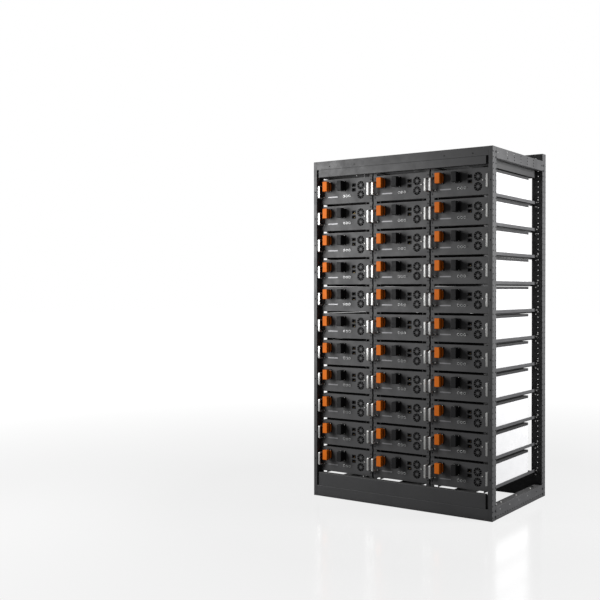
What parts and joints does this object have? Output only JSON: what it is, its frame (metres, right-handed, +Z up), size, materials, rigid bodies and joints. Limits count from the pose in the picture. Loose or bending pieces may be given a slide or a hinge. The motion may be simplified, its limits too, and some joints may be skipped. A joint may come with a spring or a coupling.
{
  "type": "server rack battery",
  "caption": "Open steel rack holding a grid of slide-in battery modules, each with two bow handles, an orange and a black power connector, data sockets, fan grilles and status lights",
  "frame": {"origin": "bottom centre of the bounding box, on the floor under the middle of the rack", "axes": "+Z up, +X to the right along the width when facing the module fronts, -Y is the direction the module fronts face and slide out"},
  "size_m": [1.222, 0.773, 2.109],
  "materials": {
    "frame_powder_coat": "satin",
    "rail_steel": "satin",
    "zinc_fastener": "satin",
    "module_body": "satin",
    "case_sheet": "satin",
    "panel_coat": "matte",
    "cell_case": "satin",
    "copper_bar": "polished",
    "board": "satin",
    "orange_housing": "satin",
    "black_housing": "satin",
    "handle_aluminium": "satin",
    "port_shell": "satin",
    "light_ring": "polished"
  },
  "bodies": {
    "rack": {"front_left_post": "frame_powder_coat", "front_right_post": "frame_powder_coat", "rear_left_post": "frame_powder_coat", "rear_right_post": "frame_powder_coat", "middle_posts": "frame_powder_coat", "front_header": "frame_powder_coat", "front_plinth": "frame_powder_coat", "filler_panels": "frame_powder_coat", "frame_beams": "frame_powder_coat", "side_rails": "frame_powder_coat", "support_rails": "rail_steel", "frame_bolts": "zinc_fastener"},
    "module_column1_row01": {"module_column1_row01": "module_body"},
    "module_column1_row02": {"module_column1_row02": "module_body"},
    "module_column1_row03": {"module_column1_row03": "module_body"},
    "module_column1_row04": {"module_column1_row04": "module_body"},
    "module_column1_row05": {"module_column1_row05": "module_body"},
    "module_column1_row06": {"module_column1_row06": "module_body"},
    "module_column1_row07": {"module_column1_row07": "module_body"},
    "module_column1_row08": {"module_column1_row08": "module_body"},
    "module_column1_row09": {"module_column1_row09": "module_body"},
    "module_column1_row10": {"module_column1_row10": "module_body"},
    "module_column1_row11": {"module_column1_row11": "module_body"},
    "module_column2_row01": {"module_column2_row01": "module_body"},
    "module_column2_row02": {"module_column2_row02": "module_body"},
    "module_column2_row03": {"module_column2_row03": "module_body"},
    "module_column2_row04": {"module_column2_row04": "module_body"},
    "module_column2_row05": {"module_column2_row05": "module_body"},
    "module_column2_row06": {"module_column2_row06": "module_body"},
    "module_column2_row07": {"module_column2_row07": "module_body"},
    "module_column2_row08": {"module_column2_row08": "module_body"},
    "module_column2_row09": {"module_column2_row09": "module_body"},
    "module_column2_row10": {"module_column2_row10": "module_body"},
    "module_column2_row11": {"module_column2_row11": "module_body"},
    "module_column3_row01": {"module_column3_row01": "module_body"},
    "module_column3_row02": {"module_column3_row02": "module_body"},
    "module_column3_row03": {"module_column3_row03": "module_body"},
    "module_column3_row04": {"module_column3_row04": "module_body"},
    "module_column3_row05": {"module_column3_row05": "module_body"},
    "module_column3_row06": {"module_column3_row06": "module_body"},
    "detailed_module": {"case_tray": "case_sheet", "case_cover": "case_sheet", "front_panel": "panel_coat", "cell_stack": "cell_case", "busbars": "copper_bar", "management_board": "board", "positive_connector": "orange_housing", "negative_connector": "black_housing", "handles": "handle_aluminium", "fan_housings": "black_housing", "data_ports": "port_shell", "status_lights": "light_ring", "panel_screws": "zinc_fastener"},
    "module_column3_row08": {"module_column3_row08": "module_body"},
    "module_column3_row09": {"module_column3_row09": "module_body"},
    "module_column3_row10": {"module_column3_row10": "module_body"},
    "module_column3_row11": {"module_column3_row11": "module_body"},
    "upper_fan_rotor": {"upper_fan_rotor": "black_housing"},
    "lower_fan_rotor": {"lower_fan_rotor": "black_housing"},
    "power_button": {"power_button": "black_housing"}
  },
  "joints": [
    {"name": "module_slide_column1_row01", "type": "slide", "parent": "rack", "child": "module_column1_row01", "axis": [0, -1, 0], "range_m": [0, 0.55]},
    {"name": "module_slide_column1_row02", "type": "slide", "parent": "rack", "child": "module_column1_row02", "axis": [0, -1, 0], "range_m": [0, 0.55]},
    {"name": "module_slide_column1_row03", "type": "slide", "parent": "rack", "child": "module_column1_row03", "axis": [0, -1, 0], "range_m": [0, 0.55]},
    {"name": "module_slide_column1_row04", "type": "slide", "parent": "rack", "child": "module_column1_row04", "axis": [0, -1, 0], "range_m": [0, 0.55]},
    {"name": "module_slide_column1_row05", "type": "slide", "parent": "rack", "child": "module_column1_row05", "axis": [0, -1, 0], "range_m": [0, 0.55]},
    {"name": "module_slide_column1_row06", "type": "slide", "parent": "rack", "child": "module_column1_row06", "axis": [0, -1, 0], "range_m": [0, 0.55]},
    {"name": "module_slide_column1_row07", "type": "slide", "parent": "rack", "child": "module_column1_row07", "axis": [0, -1, 0], "range_m": [0, 0.55]},
    {"name": "module_slide_column1_row08", "type": "slide", "parent": "rack", "child": "module_column1_row08", "axis": [0, -1, 0], "range_m": [0, 0.55]},
    {"name": "module_slide_column1_row09", "type": "slide", "parent": "rack", "child": "module_column1_row09", "axis": [0, -1, 0], "range_m": [0, 0.55]},
    {"name": "module_slide_column1_row10", "type": "slide", "parent": "rack", "child": "module_column1_row10", "axis": [0, -1, 0], "range_m": [0, 0.55]},
    {"name": "module_slide_column1_row11", "type": "slide", "parent": "rack", "child": "module_column1_row11", "axis": [0, -1, 0], "range_m": [0, 0.55]},
    {"name": "module_slide_column2_row01", "type": "slide", "parent": "rack", "child": "module_column2_row01", "axis": [0, -1, 0], "range_m": [0, 0.55]},
    {"name": "module_slide_column2_row02", "type": "slide", "parent": "rack", "child": "module_column2_row02", "axis": [0, -1, 0], "range_m": [0, 0.55]},
    {"name": "module_slide_column2_row03", "type": "slide", "parent": "rack", "child": "module_column2_row03", "axis": [0, -1, 0], "range_m": [0, 0.55]},
    {"name": "module_slide_column2_row04", "type": "slide", "parent": "rack", "child": "module_column2_row04", "axis": [0, -1, 0], "range_m": [0, 0.55]},
    {"name": "module_slide_column2_row05", "type": "slide", "parent": "rack", "child": "module_column2_row05", "axis": [0, -1, 0], "range_m": [0, 0.55]},
    {"name": "module_slide_column2_row06", "type": "slide", "parent": "rack", "child": "module_column2_row06", "axis": [0, -1, 0], "range_m": [0, 0.55]},
    {"name": "module_slide_column2_row07", "type": "slide", "parent": "rack", "child": "module_column2_row07", "axis": [0, -1, 0], "range_m": [0, 0.55]},
    {"name": "module_slide_column2_row08", "type": "slide", "parent": "rack", "child": "module_column2_row08", "axis": [0, -1, 0], "range_m": [0, 0.55]},
    {"name": "module_slide_column2_row09", "type": "slide", "parent": "rack", "child": "module_column2_row09", "axis": [0, -1, 0], "range_m": [0, 0.55]},
    {"name": "module_slide_column2_row10", "type": "slide", "parent": "rack", "child": "module_column2_row10", "axis": [0, -1, 0], "range_m": [0, 0.55]},
    {"name": "module_slide_column2_row11", "type": "slide", "parent": "rack", "child": "module_column2_row11", "axis": [0, -1, 0], "range_m": [0, 0.55]},
    {"name": "module_slide_column3_row01", "type": "slide", "parent": "rack", "child": "module_column3_row01", "axis": [0, -1, 0], "range_m": [0, 0.55]},
    {"name": "module_slide_column3_row02", "type": "slide", "parent": "rack", "child": "module_column3_row02", "axis": [0, -1, 0], "range_m": [0, 0.55]},
    {"name": "module_slide_column3_row03", "type": "slide", "parent": "rack", "child": "module_column3_row03", "axis": [0, -1, 0], "range_m": [0, 0.55]},
    {"name": "module_slide_column3_row04", "type": "slide", "parent": "rack", "child": "module_column3_row04", "axis": [0, -1, 0], "range_m": [0, 0.55]},
    {"name": "module_slide_column3_row05", "type": "slide", "parent": "rack", "child": "module_column3_row05", "axis": [0, -1, 0], "range_m": [0, 0.55]},
    {"name": "module_slide_column3_row06", "type": "slide", "parent": "rack", "child": "module_column3_row06", "axis": [0, -1, 0], "range_m": [0, 0.55]},
    {"name": "module_slide_column3_row07", "type": "slide", "parent": "rack", "child": "detailed_module", "axis": [0, -1, 0], "range_m": [0, 0.55]},
    {"name": "module_slide_column3_row08", "type": "slide", "parent": "rack", "child": "module_column3_row08", "axis": [0, -1, 0], "range_m": [0, 0.55]},
    {"name": "module_slide_column3_row09", "type": "slide", "parent": "rack", "child": "module_column3_row09", "axis": [0, -1, 0], "range_m": [0, 0.55]},
    {"name": "module_slide_column3_row10", "type": "slide", "parent": "rack", "child": "module_column3_row10", "axis": [0, -1, 0], "range_m": [0, 0.55]},
    {"name": "module_slide_column3_row11", "type": "slide", "parent": "rack", "child": "module_column3_row11", "axis": [0, -1, 0], "range_m": [0, 0.55]},
    {"name": "upper_fan_spin", "type": "hinge", "parent": "detailed_module", "child": "upper_fan_rotor", "pos_m": [0.501, -0.3235, 1.2475], "axis": [0, 1, 0], "continuous": true},
    {"name": "lower_fan_spin", "type": "hinge", "parent": "detailed_module", "child": "lower_fan_rotor", "pos_m": [0.501, -0.3235, 1.191], "axis": [0, 1, 0], "continuous": true},
    {"name": "power_button_push", "type": "slide", "parent": "detailed_module", "child": "power_button", "axis": [0, 1, 0], "range_m": [0, 0.0015], "stiffness_N_per_m": 800, "springref_m": -0.001}
  ]
}
